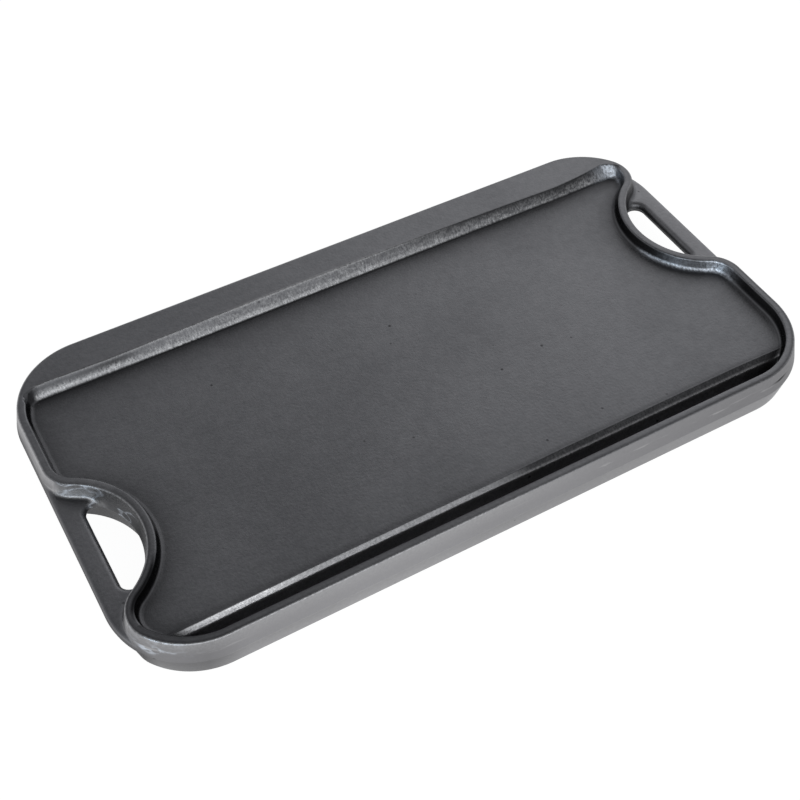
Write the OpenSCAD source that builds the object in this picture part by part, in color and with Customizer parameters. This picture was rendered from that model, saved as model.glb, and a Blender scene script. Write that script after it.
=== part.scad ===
// Reversible cast-iron camp griddle: smooth cooking floor above, ribbed grill below.
// One casting, drawn as the walls and floors that meet face to face in it.
// X runs along the length, -Y is the trough side, Z is up and 0 is the face it stands on.

/* [Overall] */
// Length over both ends, at the parting line
plate_l = 508; // [460:1:560]
// Width front to back, at the parting line
plate_w = 268; // [248:1:294]
// Height from the lower rim to the upper rim
plate_h = 32.5; // [30.5:0.5:35.5]
// Radius of the four corners, at the parting line
corner_r = 57.5; // [52:0.5:64]
// Height of the parting line between the two mould halves
parting_z = 17.5; // [16:0.5:19]
// Draft of the walls, in degrees
draft = 12; // [8:0.5:13]

/* [Rim] */
// Width of the flat top of the rim
rim_w = 5.7; // [4.5:0.1:7]
// Rounding of the rim's edges
rim_edge_r = 1.5; // [0.6:0.1:1.8]

/* [Cooking floor] */
// Depth of the smooth cooking floor below the rim
floor_depth = 8.5; // [7.5:0.5:9.5]
// Thickness of the cooking floor
floor_t = 5; // [4.5:0.1:6]

/* [Grease trough] */
// Distance from the front parting line to the lip where the floor drops into the trough
lip_in = 22.5; // [20:0.5:26]
// Rounding of that lip
lip_r = 3; // [1:0.1:3.5]
// Thickness of the wall between the trough and the grill side, under the floor
lip_wall = 5.5; // [5:0.1:7]
// Thickness of the metal under the trough
trough_t = 5; // [4:0.1:7]
// Radius of the trough's hollow bottom
trough_r = 8; // [6:0.5:12]

/* [Rear ledge] */
// Distance from the rear parting line to the ledge's inner edge
ledge_in = 30; // [26:0.5:34]
// Slope of the step from the ledge to the floor, in degrees off upright
step_slope = 31; // [15:1:35]
// Thickness of the ledge
ledge_t = 5.5; // [4.5:0.1:7]
// Thickness of the step, measured level
step_wall = 6.5; // [5.5:0.1:8]
// Rounding of the ledge's inner edge
ledge_edge_r = 1.5; // [0.6:0.1:2]

/* [Hand-holds] */
// Distance of each hand-hold from the long centre line
hold_offset = 31; // [24:1:34]
// How far the hand-hold's curve reaches in from the end
hold_depth = 39.5; // [36:0.5:44]
// Radius of that curve
hold_r = 50.5; // [47:0.5:54]
// Radius of the bends where the rim turns in around the hand-hold
bend_r = 26; // [21:0.5:28]
// Width of the handle bar
bar_w = 16; // [13:0.5:18]
// Thickness of the handle bar
bar_t = 8.5; // [7:0.1:11]
// Rounding of the bar's edges
bar_edge_r = 2.5; // [1:0.1:3]

/* [Grill ribs] */
// Distance from one rib to the next
rib_pitch = 14; // [12:0.5:18]
// Height of the ribs below the floor
rib_h = 6; // [4:0.5:8]
// Width of a rib where it leaves the floor
rib_w = 6.5; // [5.5:0.5:8]
// Rounding of a rib's tip
rib_tip_r = 1.6; // [0.8:0.1:1.8]
// Clear space between the ribs and the walls around them
rib_gap = 7; // [4:0.5:12]

/* [Hidden] */
$fn = 96;
iron = "#3b3b3d";
seasoned = "#2c2c2e";
half_l = plate_l / 2;
half_w = plate_w / 2;
floor_z = plate_h - floor_depth;
under_z = floor_z - floor_t;
arc_steps = 16;
round_steps = 4;
// Clearance between the floor's edge and the wall round a hand-hold
floor_fit = 0.01;

// How far a drafted face leans over a height
function lean(rise) = rise * tan(draft);
function unit(v) = v / norm(v);
function angle_of(v) = (atan2(v.y, v.x) + 360) % 360;
function arc(c, r, from, to, steps = arc_steps) =
    [for (i = [0:steps]) let (a = from + (to - from) * i / steps) c + r * [cos(a), sin(a)]];

// A closed outline with some corners rounded; each corner is [point, radius]
function rounded(corners) = let (n = len(corners))
    [for (i = [0:n - 1])
        each rounded_corner(corners[(i + n - 1) % n][0], corners[i], corners[(i + 1) % n][0])];
function rounded_corner(before, corner, after) =
    let (p = corner[0], r = corner[1], back = unit(before - p), on = unit(after - p))
    r == 0 ? [p] :
    let (half = acos(back * on) / 2,
         c = p + unit(back + on) * r / sin(half),
         start = angle_of(p + back * r / tan(half) - c),
         turn = sign(cross(p - before, after - p)) * (180 - 2 * half))
    arc(c, r, start, start + turn, round_steps);

// Section of the rim: 0 is the parting line, negative is inwards
rim_top = -lean(plate_h - parting_z);
rim_foot = -lean(parting_z);
rim_inner = rim_top - rim_w - lean(floor_depth);
rim_middle = rim_top - rim_w / 2;
rim_outline = rounded([
    [[rim_top, plate_h], rim_edge_r],
    [[rim_top - rim_w, plate_h], rim_edge_r],
    [[rim_inner, floor_z], 0],
    [[rim_inner, 0], rim_edge_r],
    [[rim_foot, 0], rim_edge_r],
    [[0, parting_z], 0]]);

// Course of the rim at the left end, as arcs at the parting line.
// The right end is the same course turned half a turn.
rear_corner = [-half_l + corner_r, half_w - corner_r];
front_corner = [-half_l + corner_r, -half_w + corner_r];
hold = [-half_l + hold_depth - hold_r, -hold_offset];
bend_x = -half_l + bend_r;
bend_y = sqrt(pow(hold_r + bend_r, 2) - pow(bend_x - hold.x, 2));
rear_bend = [bend_x, hold.y + bend_y];
// The front bend leaves the straight end, or the corner where the straight end is too short
bends_on_corner = hold.y - bend_y < front_corner.y;
front_bend = bends_on_corner
    ? meeting(hold, hold_r + bend_r, front_corner, corner_r - bend_r)
    : [bend_x, hold.y - bend_y];
front_leave = bends_on_corner ? angle_of(front_bend - front_corner) : 180;
// What is left of the straight end in front of the hand-hold
end_left = bends_on_corner ? 0 : front_bend.y - front_corner.y;
rear_turn = angle_of(hold - rear_bend);
front_turn = angle_of(hold - front_bend);

// The outer one of the two points at the given distances from two centres
function meeting(a, ra, b, rb) =
    let (d = norm(b - a), along = (ra * ra - rb * rb + d * d) / (2 * d), e = (b - a) / d)
    a + e * along - sqrt(ra * ra - along * along) * [-e.y, e.x];

// The rim's course moved sideways: negative is towards the floor
function end_course(shift) = concat(
    arc(rear_corner, corner_r + shift, 90, 180),
    arc(rear_bend, bend_r + shift, 180, rear_turn),
    arc(hold, hold_r - shift, rear_turn - 180, front_turn - 180),
    arc(front_bend, bend_r + shift, front_turn, front_leave),
    arc(front_corner, corner_r + shift, front_leave, 270));
function course(shift) = concat(end_course(shift), -end_course(shift));

// Steps between the floors, as lines across the width
lip_y = -half_w + lip_in;
lip_back = lip_y + lip_wall;
ledge_y = half_w - ledge_in;
step_run = floor_depth * tan(step_slope);
step_y = ledge_y - step_run;
function step_back(z) = step_y + step_wall + (z - floor_z) * tan(step_slope);
ledge_back = step_back(plate_h - ledge_t);
function lip_face(z) = lip_y - lean(floor_z - z);

// The bar lies across the parting line
bar_z = parting_z - bar_t / 2;
// The bar's ends thin out to this where they run into the rim
bar_land = 1.2;
// The wall round the hand-hold is cut out of the bar a little further, in degrees
bar_over = 0.5;
bar_rear = rear_bend.y - sqrt(2 * bend_r * bar_land);
bar_front = bends_on_corner
    ? front_leave - acos(1 - bar_land * bend_r / (corner_r * (corner_r - bend_r)))
    : 180;
bar_foot = bends_on_corner ? front_corner.y : front_bend.y + sqrt(2 * bend_r * bar_land);

module rim_section() polygon(rim_outline);

// The same wall as an upright block, which the floor is fitted to
module block_section() polygon([[rim_inner, 0], [0, 0], [0, plate_h], [rim_inner, plate_h]]);

// A straight stretch of wall along -X, whose outside faces -Y
module front_run(from, to, y)
    translate([from, y, 0]) rotate([0, 0, -90]) rotate([90, 0, 0]) linear_extrude(from - to) children();

// A straight stretch of wall along +Y, whose outside faces -X
module end_run(from, to)
    translate([-half_l, from, 0]) rotate([0, 0, 180]) rotate([90, 0, 0]) linear_extrude(to - from) children();

// A turn of wall whose outside faces away from the centre
module turn_out(c, r, from, to)
    translate(c) rotate([0, 0, from]) rotate_extrude(angle = to - from) translate([r, 0]) children();

// A turn of wall whose outside faces the centre
module turn_in(c, r, from, to) turn_out(c, r, from, to) mirror([1, 0]) children();

module half_turned() rotate([0, 0, 180]) children();

module front_wall() front_run(-front_corner.x, front_corner.x, -half_w) rim_section();

// The rear corner, the straight part of the end and the bend towards the hand-hold
module rear_corner_wall() {
    turn_out(rear_corner, corner_r, 90, 180) children();
    end_run(rear_bend.y, rear_corner.y) children();
    turn_out(rear_bend, bend_r, 180, rear_turn) children();
}

// The wall round the hand-hold; over is how far its ends run on into the bends, in degrees
module hold_wall(over = 0)
    turn_in(hold, hold_r, front_turn - 180 - over, rear_turn - 180 + over) rim_section();

// The front corner and the bend back from the hand-hold, about the line where they meet
module front_corner_wall() translate(front_corner) rotate([0, 0, front_leave]) {
    turn_out([0, 0], corner_r, 0, 270 - front_leave) children();
    translate([corner_r - bend_r, -end_left]) mirror([0, 1, 0])
        turn_out([0, 0], bend_r, 0, front_leave - front_turn) children();
    if (end_left > 0)
        translate([corner_r, 0, 0]) rotate([90, 0, 0]) linear_extrude(end_left) children();
}

// The long sides and the four whole corners, without the hand-holds
module half_of_plain_walls() {
    front_wall();
    turn_out(rear_corner, corner_r, 90, 180) rim_section();
    turn_out(front_corner, corner_r, 180, 270) rim_section();
}

// Everything inside the middle of the rim
module inside() linear_extrude(plate_h) polygon(course(rim_middle));

// A piece with one section all along X, out to the middle of the rim
module across(section) intersection() {
    translate([-half_l, 0, 0]) rotate([90, 0, 90]) linear_extrude(plate_l) polygon(section);
    inside();
}

// The same piece fitted to the long sides and the corners
module between_corners(section) difference() {
    across(section);
    half_of_plain_walls();
    half_turned() half_of_plain_walls();
}

// What the floor leaves free at one end: the corner walls and the whole round of the hand-hold
module end_of_floor() {
    rear_corner_wall() block_section();
    front_corner_wall() block_section();
    translate(hold) cylinder(r = hold_r - rim_inner + floor_fit, h = plate_h);
}

module cooking_floor() color(seasoned) difference() {
    across([[lip_back, under_z], [step_y, under_z], [step_y, floor_z], [lip_back, floor_z]]);
    end_of_floor();
    half_turned() end_of_floor();
}

module trough_wall() color(iron)
    between_corners(rounded([
        [[lip_face(0), 0], 0],
        [[lip_back - lean(under_z), 0], 0],
        [[lip_back, under_z], 0],
        [[lip_back, floor_z], 0],
        [[lip_y, floor_z], lip_r]]));

// The hollow bottom runs from the rim's inner face to the trough's wall
module trough_bottom() color(seasoned) {
    rim_side = -half_w - rim_inner;
    wall_side = lip_face(trough_t);
    spread = asin((wall_side - rim_side) / 2 / trough_r);
    hollow = arc([(rim_side + wall_side) / 2, trough_t + trough_r], trough_r, 270 + spread, 270 - spread);
    top_z = hollow[0].y;
    between_corners(concat(
        [[-half_w, 0], [lip_face(0), 0], [lip_face(top_z), top_z]],
        hollow,
        [[-half_w, top_z]]));
}

module rear_step() color(iron)
    between_corners(rounded([
        [[step_y, under_z], 0],
        [[step_back(under_z), under_z], 0],
        [[ledge_back, plate_h - ledge_t], 0],
        [[ledge_back, plate_h], 0],
        [[ledge_y, plate_h], ledge_edge_r],
        [[step_y, floor_z], 0]]));

module rear_ledge() color(iron)
    between_corners([[ledge_back, plate_h - ledge_t], [half_w, plate_h - ledge_t],
            [half_w, plate_h], [ledge_back, plate_h]]);

module front_rim() color(iron) front_wall();

module rear_rim() color(iron) half_turned() front_wall();

module left_rear_corner() color(iron) rear_corner_wall() rim_section();

module left_hold_rim() color(iron) hold_wall();

module left_front_corner() color(iron) front_corner_wall() rim_section();

module right_front_corner() color(iron) half_turned() rear_corner_wall() rim_section();

module right_hold_rim() color(iron) half_turned() hold_wall();

module right_rear_corner() color(iron) half_turned() front_corner_wall() rim_section();

// Section of the handle bar, from its outer face inwards
module bar_section() polygon(rounded([
    [[0, bar_z], bar_edge_r],
    [[0, bar_z + bar_t], bar_edge_r],
    [[-bar_w, bar_z + bar_t], bar_edge_r],
    [[-bar_w, bar_z], bar_edge_r]]));

// A whole bend of the rim, filled to its centre
module bend_drum(c) translate(c) rotate_extrude()
    polygon([[0, 0], [bend_r + rim_foot, 0], [bend_r, parting_z], [bend_r + rim_top, plate_h], [0, plate_h]]);

// The bar follows the end of the casting and stops against the two bends of the rim
module handle() difference() {
    union() {
        end_run(bar_foot, bar_rear) bar_section();
        if (bends_on_corner) turn_out(front_corner, corner_r, 180, bar_front) bar_section();
    }
    bend_drum(rear_bend);
    bend_drum(front_bend);
    hold_wall(bar_over);
}

module left_handle() color(iron) handle();

module right_handle() color(iron) half_turned() handle();

// Ribs hang from the floor and run from front to back
module grill_ribs() color(seasoned) {
    section = rounded([
        [[-rib_w / 2, under_z], 0],
        [[-rib_w / 2 + lean(rib_h), under_z - rib_h], rib_tip_r],
        [[rib_w / 2 - lean(rib_h), under_z - rib_h], rib_tip_r],
        [[rib_w / 2, under_z], 0]]);
    front_end = lip_back + rib_gap;
    rear_end = step_y - rib_gap;
    count = floor((half_l + rim_inner - rib_gap - rib_w / 2) / rib_pitch);
    intersection() {
        for (i = [-count:count])
            translate([i * rib_pitch, rear_end, 0]) rotate([90, 0, 0])
                linear_extrude(rear_end - front_end) polygon(section);
        linear_extrude(plate_h) polygon(course(rim_inner - rib_gap));
    }
}

cooking_floor();
grill_ribs();
trough_wall();
trough_bottom();
rear_step();
rear_ledge();
front_rim();
rear_rim();
left_rear_corner();
left_hold_rim();
left_front_corner();
left_handle();
right_front_corner();
right_hold_rim();
right_rear_corner();
right_handle();
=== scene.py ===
import bpy
import bmesh
import math
import numpy as np
from types import SimpleNamespace
from mathutils import Matrix, Vector, noise
from mathutils.geometry import delaunay_2d_cdt


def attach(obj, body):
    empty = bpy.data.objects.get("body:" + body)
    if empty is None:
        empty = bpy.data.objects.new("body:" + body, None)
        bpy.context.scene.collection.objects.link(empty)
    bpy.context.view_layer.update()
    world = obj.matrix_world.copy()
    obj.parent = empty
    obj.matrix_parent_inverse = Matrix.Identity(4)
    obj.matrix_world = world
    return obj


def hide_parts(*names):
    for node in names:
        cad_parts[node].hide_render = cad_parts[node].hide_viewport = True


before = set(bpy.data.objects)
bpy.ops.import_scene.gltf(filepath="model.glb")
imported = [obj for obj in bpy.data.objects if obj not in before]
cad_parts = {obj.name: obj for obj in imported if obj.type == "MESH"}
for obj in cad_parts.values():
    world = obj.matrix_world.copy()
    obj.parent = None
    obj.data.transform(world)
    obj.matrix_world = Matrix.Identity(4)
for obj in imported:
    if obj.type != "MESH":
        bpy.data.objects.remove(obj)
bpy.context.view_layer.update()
print("stage: frame loaded")

mm = 0.001
slack = 1e-6

# Outline of the casting in millimetres; the two mould halves meet at partingZ
outline = {"length": 508.0, "width": 268.0, "height": 32.5, "partingZ": 17.5, "cornerR": 57.5,
           "draft": math.radians(12)}
halfL, halfW = outline["length"] / 2, outline["width"] / 2
topZ, partZ, draft = outline["height"], outline["partingZ"], outline["draft"]

rim = {"width": 5.7, "edgeR": 1.5, "footR": 3.6, "underFootR": 3.0, "underEdgeR": 0.8, "underInset": 9.9,
       "underDraft": math.radians(2.5)}
cookFloor = {"z": 24.0, "underZ": 19.0, "waviness": 0.22, "waveLength": 70, "shortWave": 27,
             "fadeOver": 4, "topSeed": 3.0, "underSeed": 21.0, "shortSeed": 9}
rimTop = (topZ - partZ) * math.tan(draft)  # inset of the upper edge, inwards from the parting line
rimInner = rimTop + rim["width"]
wallFoot = rimInner + (topZ - cookFloor["z"]) * math.tan(draft)
rimMid = rimTop + rim["width"] / 2
underMid = (partZ * math.tan(draft) + rim["underInset"]) / 2

# The lip and the ledge bow a little, as cast: bow has the terms in x^2, x and 1, for x in bow units.
# A lift is the height, start, length, most lengths and power of a line's bend near an end
bowUnit = 100
trough = {"lipIn": 22.5, "lipWidth": 3.0, "lipWiden": 1.4, "widenX": (-10, 50), "lipDrop": 2.6,
          "lipSet": 0.9, "wall": 5.5, "bottomZ": 5.0, "footR": 3.2, "draft": math.radians(2.5),
          "deepBy": 6, "underEdgeR": 1.5, "underFootR": 3.0, "bow": (-0.5, -0.4, 1.1),
          "lift": (1.8, 50, 110, 1.3, 1.3)}
ledge = {"inner": 30.0, "underZ": 27.0, "slope": math.radians(31), "wall": 6.5, "edgeR": 1.2,
         "footR": 3.2, "underEdgeR": 2.0, "underFootR": 2.5, "bow": (-0.82, -0.47, 2.3),
         "leftLift": (2.0, 170, 43, 1.2, 1.5), "rightLift": (6.0, 180, 45, 1.2, 1.5)}
stepEnd = {"r": 11.0, "lean": math.radians(34), "fromX": 150, "fromY": 60, "rightRim": 1.25,
           "leanBy": 0.4, "turnFrom": 0.55}
ledgeDepth = topZ - cookFloor["z"]
stepY = halfW - ledge["inner"] - ledgeDepth * math.tan(ledge["slope"])

hold = {"offset": 31.0, "depth": 39.5, "r": 50.5, "bendR": 26.0, "cornerR": 6.5}
bar = {"width": 16.0, "half": 4.25, "edgeR": 2.5, "holdEdgeR": 4.0, "footR": 4.0, "footShare": 1.1}

# How close the points of the casting's mesh stand, in millimetres and degrees, and where its lines run
spacing = {
    "bend": 1.5, "curve": 2.0, "bendBelow": 40, "straight": 5.0, "bar": 4.0, "barTurn": 2.0,
    "holdTurn": 9.0, "across": 1.0, "topGrid": 7.0, "underGrid": 9.0, "gridX": 238, "gridY": 124,
    "gridClear": 2.0, "lineClear": 1.5, "endsAt": 215, "endsHalf": 45, "every": 4,
    "turnShares": (0, 0.25, 0.5, 0.75, 1), "beside": 1.2,
    "barEdge": (0.25, 0.48, 0.76, 1.32, 2.07, 2.93, 4.2), "barFoot": (0.8, 1.7, 2.7, 3.8),
    "offEdge": 3.0, "lipTop": (-1.4, -0.3, 0, 0.3), "lipFoot": (-1.6, -0.35, 0, 0.35),
    "stepFace": (0.28, 0.4, 0.52, 0.64, 0.76, 0.86), "rimWall": (0, 0.3, 0.55, 1.0),
    "floorSide": (1.4, 4.0), "outerTurn": (12, 30, 52, 72, 90), "innerTurn": (0, 24, 46, 66, 82),
    "footTurn": (80, 62, 44, 26, 10, 0), "stepEndX": (196.35, 250), "stepEndY": (78.2, 114),
    "stepEnd": 1.1, "stepEndRim": (4.7, 32),
}
sharpR = 0.01  # radius of an edge that stays sharp


# Share from 0 at start to 1 at end
def climb(value, start, end):
    return np.clip((value - start) / (end - start), 0, 1)


def endLift(x, height, start, length, most, power):
    return height * np.clip((x - start) / length, 0, most) ** power


def lipEdge(x):
    bow = np.polyval(trough["bow"], x / bowUnit)
    return -halfW + trough["lipIn"] + bow + endLift(x, *trough["lift"])


def ledgeEdge(x):
    lift = endLift(-x, *ledge["leftLift"]) + endLift(x, *ledge["rightLift"])
    return halfW - ledge["inner"] + np.polyval(ledge["bow"], x / bowUnit) + lift


def stepLean(x):
    return np.arctan2(ledgeEdge(x) - stepY, ledgeDepth)


def onCircle(degrees):
    return np.array([math.cos(math.radians(degrees)), math.sin(math.radians(degrees))])


# Course of the rim at the parting line, from the rear left corner round: arcs and straights
def rimCourse():
    rearCorner = np.array([-halfL + outline["cornerR"], halfW - outline["cornerR"]])
    frontCorner = rearCorner * [1, -1]
    holdC = np.array([-halfL + hold["depth"] - hold["r"], -hold["offset"]])
    reach = hold["r"] + hold["bendR"]
    bendX = -halfL + hold["bendR"]
    rearBend = np.array([bendX, holdC[1] + math.sqrt(reach ** 2 - (bendX - holdC[0]) ** 2)])
    inset = outline["cornerR"] - hold["bendR"]
    between = frontCorner - holdC
    far = np.linalg.norm(between)
    along = (reach ** 2 - inset ** 2 + far ** 2) / (2 * far)
    e = between / far
    frontBend = holdC + e * along - math.sqrt(reach ** 2 - along ** 2) * np.array([-e[1], e[0]])

    def angle(v):
        return math.degrees(math.atan2(v[1], v[0])) % 360

    leave = angle(frontBend - frontCorner)
    rearTurn = angle(holdC - rearBend)
    frontTurn = angle(holdC - frontBend)
    outwards, forwards = np.array([-1.0, 0.0]), np.array([0.0, -1.0])
    left = [
        ("arc", rearCorner, outline["cornerR"], 90, 180, 1),
        ("line", np.array([-halfL, rearCorner[1]]), np.array([-halfL, rearBend[1]]), outwards),
        ("arc", rearBend, hold["bendR"], 180, rearTurn, 1),
        ("arc", holdC, hold["r"], rearTurn - 180, frontTurn - 180, -1),
        ("arc", frontBend, hold["bendR"], frontTurn, leave, 1),
        ("arc", frontCorner, outline["cornerR"], leave, 270, 1),
        ("line", np.array([frontCorner[0], -halfW]), np.array([-rearCorner[0], -halfW]), forwards),
    ]
    right = []
    for piece in left:
        if piece[0] == "arc":
            right.append(("arc", -piece[1], piece[2], piece[3] + 180, piece[4] + 180, piece[5]))
        else:
            right.append(("line", -piece[1], -piece[2], -piece[3]))
    return left + right, holdC, frontCorner, rearBend, leave


course, holdC, frontCornerC, rearBendC, leaveAngle = rimCourse()

# The rounded ends of a hand-hold: centres at holdLineX, holdReachY either side of its middle
holdCoreR = hold["r"] - hold["cornerR"]
holdLineX = -halfL + bar["width"] + hold["cornerR"]
holdReachY = math.sqrt(holdCoreR ** 2 - (holdLineX - holdC[0]) ** 2)
holdEnd = math.degrees(math.acos((holdLineX - holdC[0]) / holdCoreR))


def steps(a, b, step):
    count = max(1, int(math.ceil(abs(b - a) / step)))
    return list(np.linspace(a, b, count + 1))


# Stations along the course, the same for every loop: (stretch of the course, angle or share)
def courseStations():
    found = []
    for piece in course:
        if piece[0] == "arc":
            c, r, a0, a1, side = piece[1:]
            marks = [a0, a1]
            if side < 0:
                turn = 180 if c[0] > 0 else 0
                marks = [a0, turn + holdEnd, turn - holdEnd, a1]
            apart = spacing["bend"] if r < spacing["bendBelow"] else spacing["curve"]
            for m0, m1 in zip(marks, marks[1:]):
                found += [(piece, a) for a in steps(m0, m1, math.degrees(apart / r))[:-1]]
        else:
            span = np.linalg.norm(piece[2] - piece[1])
            found += [(piece, s) for s in steps(0, 1, spacing["straight"] / span)[:-1]]
    return found


stations = courseStations()


def courseLoop(inward):
    pts = []
    for piece, s in stations:
        if piece[0] == "arc":
            c, r, a0, a1, side = piece[1:]
            pts.append(c + (r - side * inward) * onCircle(s))
        else:
            pts.append(piece[1] + (piece[2] - piece[1]) * s - piece[3] * inward)
    return np.array(pts)


# How far inside the parting line of the rim a point lies; negative is out on the handle bars
def insideRim(x, y):
    best = np.full(x.shape, np.inf)
    for piece in course:
        if piece[0] == "arc":
            c, r, a0, a1, side = piece[1:]
            low, span = min(a0, a1), abs(a1 - a0)
            turn = (np.degrees(np.arctan2(y - c[1], x - c[0])) - low + slack) % 360
            ok = turn <= span + 2 * slack
            value = side * (r - np.hypot(x - c[0], y - c[1]))
        else:
            e = piece[2] - piece[1]
            share = ((x - piece[1][0]) * e[0] + (y - piece[1][1]) * e[1]) / (e @ e)
            ok = np.abs(share - 0.5) <= 0.5 + mm * slack
            value = -((x - piece[1][0]) * piece[3][0] + (y - piece[1][1]) * piece[3][1])
        best = np.where(ok & (np.abs(value) < np.abs(best)), value, best)
    return best


# Distances from the outer edge of the plan and from the edge of the nearer hand-hold
def insideOutline(x, y):
    r = outline["cornerR"]
    qx, qy = np.abs(x) - halfL + r, np.abs(y) - halfW + r
    return r - np.hypot(np.maximum(qx, 0), np.maximum(qy, 0)) - np.minimum(np.maximum(qx, qy), 0)


def outsideHold(x, y):
    nearest = np.full(x.shape, np.inf)
    lx = holdLineX - holdC[0]
    for turn in (1, -1):
        px, py = x * turn - holdC[0], y * turn - holdC[1]
        away = np.hypot(px, py)
        onArc = px * holdCoreR >= lx * away
        onLine = (np.abs(py) <= holdReachY) & (px < lx)
        corner = np.hypot(px - lx, np.abs(py) - holdReachY)
        d = np.where(onLine, lx - px, np.where(onArc, away - holdCoreR, corner))
        d = np.where((px >= lx) & (away <= holdCoreR), -1.0, d)
        nearest = np.minimum(nearest, d - hold["cornerR"])
    return nearest


def insideEdge(x, y):
    return np.minimum(insideOutline(x, y), outsideHold(x, y))


# Height over a drafted edge with a rounded shoulder
def shoulder(d, height, r, lean):
    centre = (height - r) * math.tan(lean) + r / math.cos(lean)
    start = centre - r * math.cos(lean)
    arc = height - r + np.sqrt(np.maximum(r * r - np.clip(centre - d, 0, r) ** 2, 0))
    return np.where(d >= centre, height, np.where(d > start, arc, d / math.tan(lean)))


# A drop from one level to another, with a rounded edge above and a fillet at its foot;
# each takes at most its share of the depth
dropShare = {"edge": 0.35, "foot": 0.7}


def drop(s, depth, edgeR, footR, lean):
    edgeR = np.minimum(edgeR, dropShare["edge"] * depth)
    footR = np.minimum(footR, dropShare["foot"] * depth)
    c1 = edgeR * np.tan(lean) - edgeR / np.cos(lean)
    edge = edgeR - np.sqrt(np.maximum(edgeR ** 2 - np.clip(s - c1, 0, edgeR) ** 2, 0))
    c2 = depth * np.tan(lean) - footR * np.tan(lean) + footR / np.cos(lean)
    foot = depth - footR + np.sqrt(np.maximum(footR ** 2 - np.clip(c2 - s, 0, footR) ** 2, 0))
    fall = np.where(s < c1 + edgeR * np.cos(lean), edge, s / np.tan(lean))
    fall = np.where(s > c2 - footR * np.cos(lean), foot, fall)
    fall = np.where(s <= c1, 0, np.where(s >= c2, depth, fall))
    return np.where(depth < slack, 0, fall)


# Where a drop turns, for the lines of points that follow it: beside it, round its edge, round its fillet
def dropPlaces(depth, edgeR, footR, lean):
    c1 = edgeR * np.tan(lean) - edgeR / np.cos(lean)
    c2 = depth * np.tan(lean) - footR * np.tan(lean) + footR / np.cos(lean)
    turn = math.pi / 2 - lean
    beside = [c1 - spacing["beside"], c2 + spacing["beside"]]
    edge = [c1 + edgeR * np.sin(turn * s) for s in spacing["turnShares"]]
    return beside, edge, [c2 - footR * np.sin(turn * s) for s in spacing["turnShares"]]


# The wall of the rim as it rises from the bar, or from the parting line where there is no bar
def outerRise(x, y, t, height, edgeR):
    outer, toHold = insideOutline(x, y), outsideHold(x, y)
    edge = np.minimum(outer, toHold)
    onBar = np.minimum(shoulder(outer, bar["half"], bar["edgeR"], draft),
                       shoulder(toHold, bar["half"], bar["holdEdgeR"], draft))
    wall = shoulder(t, height, edgeR, draft)
    footR = np.clip(bar["footShare"] * (edge - t), slack, bar["footR"])
    c = onBar * math.tan(draft) + footR * math.tan(draft) - footR / math.cos(draft)
    foot = onBar + footR - np.sqrt(np.maximum(footR ** 2 - np.clip(t - c, 0, footR) ** 2, 0))
    rise = np.where(t > c + footR * math.cos(draft), wall, foot)
    return np.where(t < c, onBar, rise)


troughDepth = cookFloor["z"] - trough["bottomZ"]
troughStart = trough["lipSet"] - trough["lipDrop"] * math.tan(draft)


# The floor ends in a sloped lip, wider to the right, and the steep wall of the trough starts below it
def lipWidth(x):
    return trough["lipWidth"] + trough["lipWiden"] * climb(x, *trough["widenX"])


def lipFall(x, s):
    start = trough["lipSet"] - lipWidth(x)
    slope = np.clip((s - start) * trough["lipDrop"] / lipWidth(x), 0, trough["lipDrop"])
    return np.maximum(slope, drop(s - troughStart, troughDepth, sharpR, trough["footR"], draft))


def lipPlaces(x):
    beside, edge, foot = dropPlaces(troughDepth, sharpR, trough["footR"], draft)
    places = [trough["lipSet"] - lipWidth(x) + d for d in spacing["lipTop"]]
    places += [trough["lipSet"] + d + 0 * x for d in spacing["lipFoot"]]
    return places + [troughStart + d + 0 * x for d in beside[1:] + foot]


def insideTop(x, y):
    lip = lipFall(x, lipEdge(x) - y)
    rise = drop(ledgeEdge(x) - y, ledgeDepth, ledge["edgeR"], ledge["footR"], stepLean(x))
    return np.where(y > 0, topZ - rise, cookFloor["z"] - lip)


# The grill side: the back of the trough's wall in front, the back of the step behind
underLipY = -halfW + trough["lipIn"] + trough["wall"] - cookFloor["underZ"] * math.tan(draft)
underStepY = stepY + ledge["wall"] - (cookFloor["z"] - cookFloor["underZ"]) * math.tan(ledge["slope"])
underFront = (cookFloor["underZ"], trough["underEdgeR"], trough["underFootR"], draft)
underRear = (ledge["underZ"] - cookFloor["underZ"], ledge["underEdgeR"], ledge["underFootR"],
             ledge["slope"])


def insideUnder(y):
    rear = cookFloor["underZ"] + drop(y - underStepY, *underRear)
    return np.where(y > 0, rear, drop(y - underLipY, *underFront))


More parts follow.
